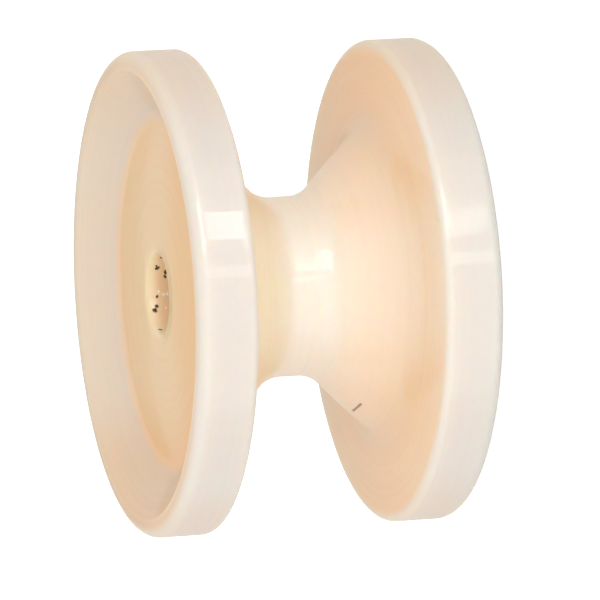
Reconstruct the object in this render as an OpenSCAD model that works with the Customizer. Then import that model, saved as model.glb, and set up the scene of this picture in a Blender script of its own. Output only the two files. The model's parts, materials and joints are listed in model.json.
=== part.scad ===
// One-piece double-flanged roller for a garage door, in natural nylon.
// It is a single turned solid: two dished flanges on a waisted, flared neck,
// with a plain through bore that runs on a spindle.
// The bore axis is Z and the origin is the middle of the bore, midway
// between the two end faces. The roller stands on either end face.

/* [Roller] */
// Outside diameter of both flanges
flange_d = 50; // [46:0.5:60]
// Overall width across the two end faces
overall_w = 31.9; // [29:0.1:36]
// Diameter of the running bore, for an 8 mm spindle
bore_d = 8.4; // [6:0.1:12]
// Chamfer at each mouth of the bore
bore_chamfer = 0.25; // [0.1:0.05:1]

/* [Flanges] */
// Width of each flange at its rim
rim_w = 6.2; // [5.5:0.1:8]
// Radius of the rounded outer lip, next to the end face
lip_r = 1.2; // [0.5:0.1:1.5]
// Radius of the rim's edge on the groove side
groove_edge_r = 0.8; // [0.2:0.1:1.4]

/* [Dished ends] */
// Wall left between the rim and the mouth of the dish
rim_wall = 1.85; // [1.6:0.05:3.5]
// Depth of the dish below the end face, at the foot of its wall
dish_depth = 3.5; // [2:0.1:4.2]
// Rise of the dish's coned floor, from there to the mouth of the bore
hub_rise = 0.95; // [0:0.05:1.8]
// Slope of the dish's wall, measured from the axis
dish_angle = 55; // [40:1:60]
// Radius of the rounded edge at the mouth of the dish
dish_mouth_r = 0.5; // [0.2:0.1:0.8]
// Radius in the corner between the dish's wall and its floor
dish_fillet_r = 3; // [1:0.1:5]

/* [Neck and flares] */
// Diameter of the neck at the waist
neck_d = 18.6; // [15:0.2:20]
// Width of the neck between the feet of the two flares, before rounding
neck_w = 5.3; // [4.5:0.1:7]
// Slope of the flares that carry the flanges, measured from the axis
flare_angle = 45; // [35:1:50]
// Radius that rounds the neck into each flare
waist_r = 3.7; // [1:0.1:5]
// Radius that blends each flare into its flange
flare_fillet_r = 4; // [2:0.1:6]

/* [Hidden] */
$fn = 144;
nylon = [0.96, 0.89, 0.79];
// how far a cut runs past the edge that it rounds
cut_overrun = 0.3;

flange_r = flange_d / 2;
bore_r = bore_d / 2;
neck_r = neck_d / 2;
// heights above the middle plane
end_z = overall_w / 2;
groove_z = end_z - rim_w;
floor_z = end_z - dish_depth;
hub_z = floor_z + hub_rise;
flare_z = neck_w / 2;
// radii where the section turns
mouth_r = flange_r - rim_wall;
floor_r = mouth_r - dish_depth * tan(dish_angle);
hub_r = bore_r + bore_chamfer;
flare_r = neck_r + (groove_z - flare_z) * tan(flare_angle);
// slope of the dish's floor above the level
floor_angle = atan(hub_rise / (floor_r - hub_r));
// the waist's rounding ends, at most, in the middle of the neck
waist_fit_r = min(waist_r, flare_z / tan(flare_angle / 2));

// Corners of the upper half of the section. A rounded one holds its sharp point as
// [radius, height], the angles of the two edges that leave it, and its arc's radius.
bore_edge = [bore_r, hub_z - bore_chamfer];
hub_edge = [hub_r, hub_z];
dish_foot = [[floor_r, floor_z], 180 - floor_angle, 90 - dish_angle, dish_fillet_r];
dish_mouth = [[mouth_r, end_z], 360, 270 - dish_angle, dish_mouth_r];
rim_end = [[flange_r, end_z], 180, 270, lip_r];
rim_groove = [[flange_r, groove_z], 90, 180, groove_edge_r];
flare_top = [[flare_r, groove_z], 0, -90 - flare_angle, flare_fillet_r];
neck_foot = [[neck_r, flare_z], 90 - flare_angle, -90, waist_fit_r];

function along(angle) = [cos(angle), sin(angle)];
function half_angle(corner) = abs(corner[2] - corner[1]) / 2;
function bisector(corner) = along((corner[1] + corner[2]) / 2);
// Where the arc touches the two edges, and its centre
function reach(corner) = corner[3] / tan(half_angle(corner));
function touch(corner, edge) = corner[0] + along(corner[edge]) * reach(corner);
function centre(corner) = corner[0] + bisector(corner) * corner[3] / sin(half_angle(corner));
function overrun(corner) = corner[0] - bisector(corner) * cut_overrun;
// A hollow corner is first filled right up to its arc's centre
function filled(corner) = [touch(corner, 1), centre(corner), touch(corner, 2)];
function flipped(points) = [for (i = [len(points) - 1 : -1 : 0]) [points[i].x, -points[i].y]];

upper_half = concat(
    [bore_edge, hub_edge],
    filled(dish_foot),
    [dish_mouth[0], rim_end[0], rim_groove[0]],
    filled(flare_top),
    filled(neck_foot)
);

module arc_disc(corner) {
    translate(centre(corner)) circle(corner[3]);
}

// What an arc takes off a sharp edge. It runs past the edge, so that it cuts cleanly.
module edge_waste(corner) {
    difference() {
        polygon([overrun(corner), touch(corner, 1), centre(corner), touch(corner, 2)]);
        arc_disc(corner);
    }
}

// The whole section: waisted neck, flares, flanges with rounded lips, dishes and bore
module section() {
    difference() {
        polygon(concat(upper_half, flipped(upper_half)));
        for (half = [0, 1]) mirror([0, half]) {
            for (hollow = [dish_foot, flare_top, neck_foot]) arc_disc(hollow);
            for (edge = [dish_mouth, rim_end, rim_groove]) edge_waste(edge);
        }
    }
}

module roller() {
    color(nylon) rotate_extrude() section();
}

roller();
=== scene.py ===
"""A one-piece garage door roller in natural nylon, standing on the end face of one flange."""
import json
import math

import bmesh
import bpy
from mathutils import Matrix, Vector


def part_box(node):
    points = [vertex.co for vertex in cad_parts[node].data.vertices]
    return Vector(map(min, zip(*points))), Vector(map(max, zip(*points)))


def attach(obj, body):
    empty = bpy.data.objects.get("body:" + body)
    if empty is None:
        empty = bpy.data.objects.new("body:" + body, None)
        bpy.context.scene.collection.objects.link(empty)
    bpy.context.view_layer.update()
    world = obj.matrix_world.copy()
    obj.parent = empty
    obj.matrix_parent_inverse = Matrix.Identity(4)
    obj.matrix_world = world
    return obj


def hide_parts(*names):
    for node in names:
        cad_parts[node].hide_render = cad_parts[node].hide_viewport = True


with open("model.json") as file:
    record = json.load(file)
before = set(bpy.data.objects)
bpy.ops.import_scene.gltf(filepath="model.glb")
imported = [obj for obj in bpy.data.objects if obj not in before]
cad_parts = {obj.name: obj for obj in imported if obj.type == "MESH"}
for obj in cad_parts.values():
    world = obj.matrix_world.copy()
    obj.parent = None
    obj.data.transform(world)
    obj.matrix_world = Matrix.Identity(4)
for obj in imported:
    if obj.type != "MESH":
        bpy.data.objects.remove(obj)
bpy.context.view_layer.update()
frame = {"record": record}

# ---------------------------------------------------------------------------
# Roller
# One solid of natural nylon: two dished flanges on a waisted, flared neck, with a plain
# bore for the spindle. It is turned all over, so its shape is one section spun round Z.
# ---------------------------------------------------------------------------

low_corner, high_corner = (Vector(corner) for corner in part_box("roller"))
flange_radius = min(high_corner.x, high_corner.y, -low_corner.x, -low_corner.y)
end_height = high_corner.z
bore = next(mount for mount in frame["record"]["mounts"] if mount["name"] == "axle_bore")
bore_radius = bore["dims"]["r_mm"] / 1000
bore_chamfer = 0.00025
rim_width = 0.0062
rim_wall = 0.00185
dish_depth = 0.0035
dish_angle = math.radians(55)
hub_rise = 0.00095
neck_radius = 0.0093
flare_foot = 0.00265

dish_fillet = 0.003
mouth_rounding = 0.0005
lip_rounding = 0.0012
groove_rounding = 0.0008
flare_fillet = 0.004
waist_rounding = 0.0037

groove_height = end_height - rim_width
mouth_radius = flange_radius - rim_wall
dish_height = end_height - dish_depth
dish_radius = mouth_radius - dish_depth * math.tan(dish_angle)
hub_height = dish_height + hub_rise
hub_radius = bore_radius + bore_chamfer
flare_radius = neck_radius + groove_height - flare_foot

# Upper half of the section, from the middle of the bore to the middle of the neck:
# radius, height, and the radius that rounds the corner
section_corners = [
    (bore_radius, 0, 0),
    (bore_radius, hub_height - bore_chamfer, 0),
    (hub_radius, hub_height, 0),
    (dish_radius, dish_height, dish_fillet),
    (mouth_radius, end_height, mouth_rounding),
    (flange_radius, end_height, lip_rounding),
    (flange_radius, groove_height, groove_rounding),
    (flare_radius, groove_height, flare_fillet),
    (neck_radius, flare_foot, waist_rounding),
    (neck_radius, 0, 0),
]
arc_segments = 10
turn_segments = 300
# Straight runs longer than this are cut up, so that the shading of the arcs stays beside them
straight_length = 0.001
straight_cuts = 8
merge_distance = 1e-7

# A shallow nick in the lower flare, from one end to the other, with finer rings of faces across it
nick_start = Vector((-0.01256, -0.00392, -0.0065))
nick_end = Vector((-0.01329, -0.00029, -0.00664))
nick_reach = 0.00018
nick_depth = 0.00011
nick_rings = 17
nick_ring_top = -0.0061
nick_ring_gap = 0.00006


def round_corner(mesh, corner, radius):
    """Rounds one corner of a wire section to an arc that meets both its edges."""
    arms = [edge.other_vert(corner).co - corner.co for edge in corner.link_edges]
    half_angle = arms[0].angle(arms[1]) / 2
    bmesh.ops.bevel(mesh, geom=[corner], offset=radius / math.tan(half_angle), offset_type="OFFSET",
                    segments=arc_segments, profile=0.5, affect="VERTICES", material=-1)


def turned_roller():
    mesh = bmesh.new()
    corners = [mesh.verts.new((radius, 0, height)) for radius, height, _ in section_corners]
    for start, end in zip(corners, corners[1:]):
        mesh.edges.new((start, end))
    for corner, (_, _, rounding) in zip(corners, section_corners):
        if rounding:
            round_corner(mesh, corner, rounding)
    straights = [edge for edge in mesh.edges if edge.calc_length() > straight_length]
    bmesh.ops.subdivide_edges(mesh, edges=straights, cuts=straight_cuts)
    bmesh.ops.mirror(mesh, geom=mesh.verts[:] + mesh.edges[:], axis="Z", merge_dist=merge_distance)
    for ring in range(nick_rings):
        bmesh.ops.bisect_plane(mesh, geom=mesh.verts[:] + mesh.edges[:], dist=merge_distance,
                               plane_co=(0, 0, nick_ring_top - ring * nick_ring_gap), plane_no=(0, 0, 1))
    bmesh.ops.spin(mesh, geom=mesh.verts[:] + mesh.edges[:], cent=(0, 0, 0), axis=(0, 0, 1),
                   angle=2 * math.pi, steps=turn_segments, use_merge=True)
    bmesh.ops.recalc_face_normals(mesh, faces=mesh.faces)
    for face in mesh.faces:
        face.smooth = True
    return mesh


def press_nick(mesh):
    """Pushes the flare's surface in along the nick, deepest in its middle."""
    run = nick_end - nick_start
    for vert in mesh.verts:
        share = (vert.co - nick_start).dot(run) / run.length_squared
        nearest = nick_start + run * min(max(share, 0), 1)
        nearness = 1 - (vert.co - nearest).length / nick_reach
        if nearness > 0:
            inward = Vector((-vert.co.x, -vert.co.y, -vert.co.xy.length)).normalized()
            vert.co += inward * nick_depth * nearness * nearness * (3 - 2 * nearness)


def as_piece(name, mesh):
    data = bpy.data.meshes.new(name)
    mesh.to_mesh(data)
    mesh.free()
    piece = bpy.data.objects.new(name, data)
    bpy.context.scene.collection.objects.link(piece)
    return piece


roller_mesh = turned_roller()
press_nick(roller_mesh)
roller = as_piece("nylon_roller", roller_mesh)


class Nodes:
    """Adds nodes to one material or world, links them, and hands back what they give out."""

    def __init__(self, owner):
        owner.use_nodes = True
        self.tree = owner.node_tree
        self.tree.nodes.clear()

    def add(self, kind, settings=None, **inputs):
        """An input goes by its name, with _ for a space, or by its number, as in _0."""
        node = self.tree.nodes.new("ShaderNode" + kind)
        for key, value in (settings or {}).items():
            setattr(node, key, value)
        for key, value in inputs.items():
            number = key[1:]
            socket = node.inputs[int(number) if number.isdigit() else key.replace("_", " ")]
            if isinstance(value, bpy.types.NodeSocket):
                self.tree.links.new(value, socket)
            else:
                socket.default_value = value
        return node

    def math(self, operation, first, second=0.0):
        return self.add("Math", {"operation": operation}, _0=first, _1=second).outputs[0]

    def vector(self, operation, first, **inputs):
        return self.add("VectorMath", {"operation": operation}, _0=first, **inputs).outputs["Vector"]

    def measure(self, operation, first, second=(0, 0, 0)):
        return self.add("VectorMath", {"operation": operation}, _0=first, _1=second).outputs["Value"]

    def rescale(self, value, start, end, low=0.0, high=1.0, interpolation="LINEAR"):
        """Takes start to low and end to high, and holds those beyond them."""
        return self.add("MapRange", {"interpolation_type": interpolation}, Value=value, From_Min=start,
                        From_Max=end, To_Min=low, To_Max=high).outputs["Result"]

    def smooth_step(self, value, start, end):
        return self.rescale(value, start, end, interpolation="SMOOTHSTEP")

    def ramp(self, value, stops):
        node = self.add("ValToRGB", Fac=value)
        elements = node.color_ramp.elements
        while len(elements) < len(stops):
            elements.new(0.5)
        for element, (position, colour) in zip(elements, stops):
            element.position = position
            element.color = colour
        return node.outputs["Color"]

    def mix(self, factor, first, second, blend="MIX"):
        settings = {"data_type": "RGBA", "blend_type": blend}
        return self.add("Mix", settings, _0=factor, _6=first, _7=second).outputs[2]

    def deepen(self, factor, tint, colour):
        return self.mix(factor, tint, colour, "MULTIPLY")


def linear(red, green, blue):
    """An sRGB colour, each channel 0 to 255, as Blender's linear one."""
    def channel(value):
        value /= 255
        return value / 12.92 if value <= 0.04045 else ((value + 0.055) / 1.055) ** 2.4
    return (channel(red), channel(green), channel(blue), 1)


nylon = bpy.data.materials.new("natural_nylon")
n = Nodes(nylon)
place = n.add("TexCoord").outputs["Object"]
axes = n.add("SeparateXYZ", _0=place).outputs
radius = n.measure("LENGTH", n.add("CombineXYZ", X=axes["X"], Y=axes["Y"]).outputs[0])
radius_share = n.math("DIVIDE", radius, flange_radius)

# The tones of the neck and the flares, by share of the flange's radius. Painted light makes the upper
# flare more golden, and painted shade deepens all of them towards the X sides.
groove_tint = n.ramp(radius_share, [
    (neck_radius / flange_radius, linear(253, 238, 226)),
    (0.62, linear(237, 221, 201)),
    (0.74, linear(246, 223, 195)),
    (0.95, linear(238, 226, 205)),
])
# Painted light: the upper flare is made more golden
painted_light_upper_flare = n.math("MULTIPLY", n.smooth_step(axes["Z"], 0.001, 0.004), 0.8)
groove_tint = n.mix(painted_light_upper_flare, groove_tint, linear(255, 234, 202))
# Painted shade: the neck and the flares deepen towards the X sides
painted_shade_groove_sides = n.smooth_step(n.math("ABSOLUTE", axes["X"]), 0.004, 0.015)
groove_tint = n.deepen(painted_shade_groove_sides, groove_tint, linear(255, 239, 216))

# The dish's tones: the bore is painted a little paler, as painted light; the amber floor is partly
# painted shade of the hollow; the wall is greyer. Painted light deepens the front of the floor to the
# orange of light through the front wall, painted shade deepens the dish towards -X and darkens and greys
# the mouth's back, and the mouth's front edge is amber.
dish_tint = n.ramp(radius_share, [
    (0.169, linear(243, 216, 179)),
    (0.182, linear(241, 204, 151)),
    (0.706, linear(239, 204, 153)),
    (0.752, linear(225, 209, 188)),
    (0.92, linear(227, 211, 190)),
])
# Painted light: the front of the floor is deepened to the orange of light coming through the front wall
painted_glow_front_floor = n.math("MULTIPLY", n.smooth_step(axes["Y"], -0.001, -0.009),
                     n.smooth_step(radius_share, 0.74, 0.69))
dish_tint = n.deepen(painted_glow_front_floor, dish_tint, linear(255, 240, 214))
# Painted shade: the dish deepens towards -X
dish_tint = n.deepen(n.smooth_step(axes["X"], -0.009, -0.019), dish_tint, linear(255, 240, 218))
# Painted shade: the mouth's back is made darker and greyer
painted_shade_mouth_back = n.math("MULTIPLY", n.smooth_step(radius, 0.0226, 0.0237),
                    n.smooth_step(axes["Y"], -0.004, 0.006))
dish_tint = n.deepen(painted_shade_mouth_back, dish_tint, linear(243, 240, 232))
mouth_edge_radius = flange_radius - 0.0018
from_mouth_edge = n.math("ABSOLUTE", n.math("SUBTRACT", radius, mouth_edge_radius))
mouth_front = n.math("MULTIPLY", n.smooth_step(from_mouth_edge, 0.0004, 0.0001),
                     n.smooth_step(axes["Y"], 0.0, -0.012))
dish_tint = n.mix(mouth_front, dish_tint, linear(248, 214, 172))

# The rims are the palest part. Painted shade darkens them and all the rest a little at the X ends.
height = n.math("ABSOLUTE", axes["Z"])
in_dish = n.smooth_step(height, groove_height + 0.0005, groove_height + 0.0015)
on_rim = n.smooth_step(radius, flange_radius - 0.0014, flange_radius - 0.0002)
tint = n.mix(in_dish, groove_tint, dish_tint)
tint = n.mix(on_rim, tint, linear(224, 217, 208))
# Painted shade at both X ends
tint = n.deepen(n.smooth_step(axes["X"], 0.014, 0.0245), tint, linear(254, 241, 222))
tint = n.deepen(n.smooth_step(axes["X"], -0.019, -0.0245), tint, linear(255, 245, 233))

# Turning marks run round the axis: they change with radius and height, and hardly with bearing
turned = n.add("CombineXYZ", X=radius, Y=axes["Z"], Z=n.math("MULTIPLY", axes["X"], 0.02)).outputs[0]
marks = n.add("TexNoise", Vector=turned, Scale=2500.0, Detail=3.0, Roughness=0.6).outputs["Fac"]
mark_depth = 0.00002
relief = n.add("Bump", Strength=0.1, Distance=mark_depth, Height=marks).outputs["Normal"]
shine_relief = n.add("Bump", Strength=0.28, Distance=mark_depth, Height=marks).outputs["Normal"]

# Dark specks of dirt, and pale painted glints, on the bore's wall near its upper mouth: bearing from +X,
# height, radius. Noise moves their edges about, so that they come out ragged.
dirt_spots = [
    (29.2, 0.01227, 0.00018), (51.5, 0.01238, 0.00022), (47, 0.0125, 0.00016), (58.6, 0.0114, 0.00028),
    (66, 0.01143, 0.0002), (95, 0.01236, 0.00018), (107.9, 0.01251, 0.00022), (114, 0.0127, 0.00026),
    (151.1, 0.01284, 0.0002),
]
painted_glint_spots = [
    (86.7, 0.01211, 0.00015), (91.3, 0.01165, 0.00018), (90.9, 0.01122, 0.00017),
    (110.2, 0.01159, 0.00012),
]
raggedness = 0.0005
noise = n.add("TexNoise", Vector=place, Scale=2200.0, Detail=1.0).outputs["Color"]
shift = n.vector("SCALE", n.vector("SUBTRACT", noise, _1=(0.5, 0.5, 0.5)), Scale=raggedness)
ragged_place = n.vector("ADD", place, _1=shift)


def spotted(spots):
    """A mask that is 1 inside any of the spots on the bore's wall and fades out at their edges."""
    result = 0.0
    for bearing, high, size in spots:
        turn = math.radians(bearing)
        centre = (bore_radius * math.cos(turn), bore_radius * math.sin(turn), high)
        spot = n.smooth_step(n.measure("DISTANCE", ragged_place, centre), size * 1.3, size * 0.7)
        result = n.math("MAXIMUM", result, spot)
    return result


dirt = spotted(dirt_spots)
# Painted glints: small white highlights on the bore's wall
tint = n.mix(spotted(painted_glint_spots), tint, linear(255, 250, 238))
tint = n.mix(dirt, tint, linear(78, 50, 24))

# The nick is stained brown along its whole length
nick_run = nick_end - nick_start
from_start = n.vector("SUBTRACT", place, _1=nick_start)
along = n.rescale(n.measure("DOT_PRODUCT", from_start, nick_run / nick_run.length_squared), 0.0, 1.0)
from_nick = n.measure("DISTANCE", from_start, n.vector("SCALE", nick_run, Scale=along))
stain = n.smooth_step(from_nick, nick_reach * 1.2, nick_reach * 0.3)
tint = n.mix(stain, tint, linear(150, 108, 62))

# The turning marks break up the shine a little. It fades where the surface turns away, and the
# dirt has none.
turned_away = n.add("LayerWeight", Blend=0.5).outputs["Facing"]
gloss = n.math("MULTIPLY", n.rescale(turned_away, 0.45, 0.9, 1.0, 0.1),
               n.rescale(marks, 0.4, 0.6, 0.8, 1.0))
gloss = n.math("MULTIPLY", gloss, n.math("SUBTRACT", 1.0, dirt))
surface = n.add("BsdfPrincipled", Base_Color=tint, Roughness=0.45, IOR=1.5, Specular_IOR_Level=0.3,
                Normal=relief, Subsurface_Weight=1.0, Subsurface_Scale=0.004,
                Subsurface_Radius=(1.0, 0.55, 0.3), Coat_Weight=gloss, Coat_Roughness=0.03,
                Coat_IOR=1.6, Coat_Normal=shine_relief)
n.add("OutputMaterial", Surface=surface.outputs["BSDF"])

roller.data.materials.append(nylon)
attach(roller, "root")
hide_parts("roller")

# ---------------------------------------------------------------------------
# Studio
# A pale floor under the lower end face, and a sky that is brightest on the camera's side. One
# large soft panel lights the front, and small lamps only draw the bright bands in the shine.
# ---------------------------------------------------------------------------

white = (1, 1, 1, 1)

floor_size = 30
floor_mesh = bmesh.new()
bmesh.ops.create_grid(floor_mesh, x_segments=1, y_segments=1, size=floor_size)
bmesh.ops.translate(floor_mesh, verts=floor_mesh.verts, vec=(0, 0, -end_height))
floor = as_piece("floor", floor_mesh)
floor_paint = bpy.data.materials.new("floor_paint")
f = Nodes(floor_paint)
pale = f.add("BsdfDiffuse", Color=(0.8, 0.8, 0.8, 1)).outputs[0]
glow = f.add("Emission", Color=white, Strength=0.65).outputs[0]
both = f.add("AddShader", _0=pale, _1=glow).outputs[0]
camera_ray = f.add("LightPath").outputs["Is Camera Ray"]
f.add("OutputMaterial", Surface=f.add("MixShader", _0=camera_ray, _1=pale, _2=both).outputs[0])
floor.data.materials.append(floor_paint)
floor.visible_glossy = False
floor.visible_shadow = False

world = bpy.data.worlds.new("studio")
bpy.context.scene.world = world
w = Nodes(world)
side = w.add("SeparateXYZ", _0=w.add("TexCoord").outputs["Generated"]).outputs
brightness = w.math("ADD", w.rescale(side["Y"], 0.0, -1.0, 0.6, 1.45),
                    w.rescale(side["X"], 0.0, -1.0, 0.0, 0.12))
around = w.add("Background", Color=white, Strength=brightness).outputs[0]
backdrop = w.add("Background", Color=white, Strength=1.0).outputs[0]
ray = w.add("LightPath").outputs
seen = w.math("MAXIMUM", w.math("MAXIMUM", ray["Is Camera Ray"], ray["Is Glossy Ray"]),
              ray["Is Transmission Ray"])
w.add("OutputWorld", Surface=w.add("MixShader", _0=seen, _1=around, _2=backdrop).outputs[0])


def hang_lamp(name, bearing, distance, middle, lean, width, length, radiance):
    """A flat, even lamp that faces the roller, from a bearing measured from -Y towards +X."""
    data = bpy.data.lights.new(name, "AREA")
    data.shape = "RECTANGLE"
    data.size = width
    data.size_y = length
    data.energy = radiance * math.pi * width * length
    lamp = bpy.data.objects.new(name, data)
    lamp.matrix_world = (
        Matrix.Rotation(math.radians(bearing), 4, "Z") @ Matrix.Translation((0, -distance, middle))
        @ Matrix.Rotation(math.pi / 2, 4, "X") @ Matrix.Rotation(math.radians(lean), 4, "Z"))
    bpy.context.scene.collection.objects.link(lamp)
    return lamp


hang_lamp("front_panel", 0, 1.2, -0.825, 0, 4.0, 3.35, 0.5)

# Name, bearing, distance, height of the middle, lean to one side, width, length, radiance
shine_lamps = [
    ("near_rim_shine", 28.8, 0.3, -0.068, 0, 0.068, 0.03, 3.3),
    ("far_rim_shine", 24.8, 0.302, -0.1035, 62, 0.031, 0.08, 1.7),
    ("neck_shine_low", 30, 0.6, -0.1775, 0, 0.265, 0.029, 0.7),
    ("neck_shine", 30, 0.6, -0.0825, 0, 0.265, 0.125, 0.7),
    ("neck_shine_high", 30, 0.6, 0.175, 0, 0.265, 0.39, 2.6),
    ("second_shine", 8, 0.6, -0.45, 0, 0.06, 1.1, 1.2),
]
for settings in shine_lamps:
    hang_lamp(*settings).visible_diffuse = False

# The camera stands 0.7 m off, a little above the middle of the roller, and is turned on
# its side, so that the bore's axis lies across the picture.
camera_distance = 0.68654
camera_elevation = math.radians(16.482)
camera_roll = math.radians(-93.38)
framing = Vector((0.001793, -0.001402, camera_distance))
camera_data = bpy.data.cameras.new("camera")
camera_data.sensor_width = 36
camera_data.lens = 399.16
camera = bpy.data.objects.new("camera", camera_data)
tilt = Matrix.Rotation(math.pi / 2 - camera_elevation, 4, "X") @ Matrix.Rotation(camera_roll, 4, "Z")
camera.matrix_world = tilt @ Matrix.Translation(framing)
bpy.context.scene.collection.objects.link(camera)
bpy.context.scene.camera = camera
bpy.context.scene.view_settings.view_transform = "Standard"
